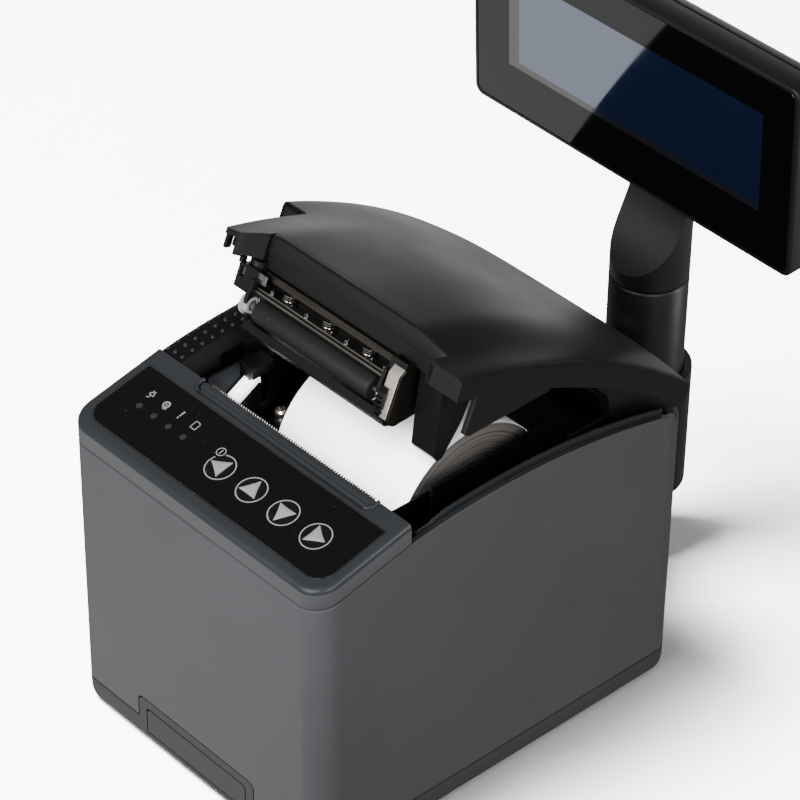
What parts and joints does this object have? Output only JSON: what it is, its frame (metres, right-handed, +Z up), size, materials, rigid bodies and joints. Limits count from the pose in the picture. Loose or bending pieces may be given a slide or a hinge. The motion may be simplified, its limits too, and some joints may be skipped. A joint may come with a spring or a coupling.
{
  "type": "receipt printer",
  "caption": "Desktop thermal receipt printer with a hinged paper lid, a sloping key panel and a tilting customer display on a rear post.",
  "frame": {"origin": "bottom centre of the whole object's bounding box, on the surface that the feet stand on", "axes": "+Z up, front face with the key panel towards -Y, +X to the right seen from the front"},
  "size_m": [0.1972, 0.2842, 0.3027],
  "materials": {
    "body_plastic": "fine textured, satin",
    "panel_plastic": "satin",
    "tray_plastic": "satin",
    "black_plastic": "fine textured",
    "lid_plastic": "soft satin",
    "gloss_panel": "high gloss",
    "key_caps": "gloss with silver rings",
    "indicator": "translucent, unlit",
    "steel": "brushed",
    "polished_steel": "polished",
    "rubber": "matte",
    "white_plastic": "satin",
    "paper": "matte paper",
    "card": "grey-brown card",
    "circuit_board": "solder mask",
    "lcd": "dark blue display"
  },
  "bodies": {
    "printer_body": {"outer_case": "body_plastic", "base_tray": "tray_plastic", "front_panel": "panel_plastic", "panel_membrane": "gloss_panel", "led_light_guide": "indicator", "tear_bar": "steel", "power_socket": "black_plastic", "usb_socket": "black_plastic", "serial_socket": "black_plastic", "drawer_socket": "black_plastic", "foot_front_left": "rubber", "foot_front_right": "rubber", "foot_rear_left": "rubber", "foot_rear_right": "rubber", "paper_well": "black_plastic", "inner_plate": "panel_plastic", "latch_bracket": "black_plastic", "guide_rail": "white_plastic", "well_screw": "steel", "main_board": "circuit_board", "fiscal_memory": "black_plastic", "hinge_pin_left": "steel", "hinge_pin_right": "steel", "rear_bracket": "black_plastic", "post_tube": "black_plastic"},
    "lid": {"lid_cover": "lid_plastic", "lid_liner": "black_plastic", "mech_frame_left": "black_plastic", "mech_frame_right": "black_plastic", "upper_plate": "steel", "lower_plate": "steel", "print_head": "white_plastic", "head_spring_left": "polished_steel", "head_spring_middle": "polished_steel", "head_spring_right": "polished_steel", "platen_bushing_left": "white_plastic", "platen_bushing_right": "white_plastic", "feed_motor": "steel", "side_cover": "polished_steel", "lower_guide": "black_plastic", "guide_arm": "black_plastic"},
    "platen": {"platen_shaft": "steel", "platen_roller": "rubber", "platen_gear": "black_plastic"},
    "idler": {"idler_gear": "black_plastic"},
    "motor_rotor": {"motor_pinion": "steel"},
    "roll": {"paper_roll": "paper", "roll_core": "card"},
    "lever": {"release_lever": "black_plastic"},
    "door": {"service_door": "tray_plastic"},
    "clear_key": {"key_clear": "key_caps"},
    "up_key": {"key_up": "key_caps"},
    "down_key": {"key_down": "key_caps"},
    "confirm_key": {"key_confirm": "key_caps"},
    "display_post_head": {"swivel_head": "black_plastic", "tilt_pin": "steel"},
    "display": {"display_front_frame": "black_plastic", "display_rear_cover": "black_plastic", "display_glass": "gloss_panel", "lcd_module": "lcd"}
  },
  "joints": [
    {"name": "lid_hinge", "type": "hinge", "parent": "printer_body", "child": "lid", "pos_m": [-0.00537, 0.0655, 0.1303], "axis": [-1, 0, 0], "range_deg": [-22.86, 27]},
    {"name": "platen_spin", "type": "hinge", "parent": "lid", "child": "platen", "pos_m": [-0.00537, -0.06916, 0.19597], "axis": [1, 0, 0], "continuous": true},
    {"name": "idler_spin", "type": "hinge", "parent": "lid", "child": "idler", "pos_m": [0.03663, -0.05705, 0.18968], "axis": [1, 0, 0], "continuous": true},
    {"name": "motor_spin", "type": "hinge", "parent": "lid", "child": "motor_rotor", "pos_m": [0.03663, -0.05, 0.19766], "axis": [1, 0, 0], "continuous": true},
    {"name": "roll_spin", "type": "hinge", "parent": "printer_body", "child": "roll", "pos_m": [-0.00112, -0.0246, 0.1165], "axis": [1, 0, 0], "continuous": true},
    {"name": "lever_pivot", "type": "hinge", "parent": "printer_body", "child": "lever", "pos_m": [-0.07837, -0.0555, 0.138], "axis": [-1, 0, 0], "range_deg": [0, 3.5], "stiffness_Nm_per_rad": 0.5, "springref_deg": -5.73},
    {"name": "door_hinge", "type": "hinge", "parent": "printer_body", "child": "door", "pos_m": [-0.00537, -0.141, 0.0077], "axis": [1, 0, 0], "range_deg": [0, 80]},
    {"name": "key_clear_press", "type": "slide", "parent": "printer_body", "child": "clear_key", "axis": [0, 0.2295, -0.9733], "range_m": [0, 0.0006], "stiffness_N_per_m": 600, "springref_m": -0.0004},
    {"name": "key_up_press", "type": "slide", "parent": "printer_body", "child": "up_key", "axis": [0, 0.2295, -0.9733], "range_m": [0, 0.0006], "stiffness_N_per_m": 600, "springref_m": -0.0004},
    {"name": "key_down_press", "type": "slide", "parent": "printer_body", "child": "down_key", "axis": [0, 0.2295, -0.9733], "range_m": [0, 0.0006], "stiffness_N_per_m": 600, "springref_m": -0.0004},
    {"name": "key_confirm_press", "type": "slide", "parent": "printer_body", "child": "confirm_key", "axis": [0, 0.2295, -0.9733], "range_m": [0, 0.0006], "stiffness_N_per_m": 600, "springref_m": -0.0004},
    {"name": "display_swivel", "type": "hinge", "parent": "printer_body", "child": "display_post_head", "pos_m": [0.00023, 0.1199, 0.154], "axis": [0, 0, 1], "range_deg": [-30, 30]},
    {"name": "display_tilt", "type": "hinge", "parent": "display_post_head", "child": "display", "pos_m": [0.00038, 0.1285, 0.2567], "axis": [-0.9998, 0.0175, 0], "range_deg": [-2, 20]}
  ],
  "couplings": [
    {"joint": "idler_spin", "follows": "platen_spin", "ratio": -1.25},
    {"joint": "motor_spin", "follows": "platen_spin", "ratio": 1.6667}
  ]
}
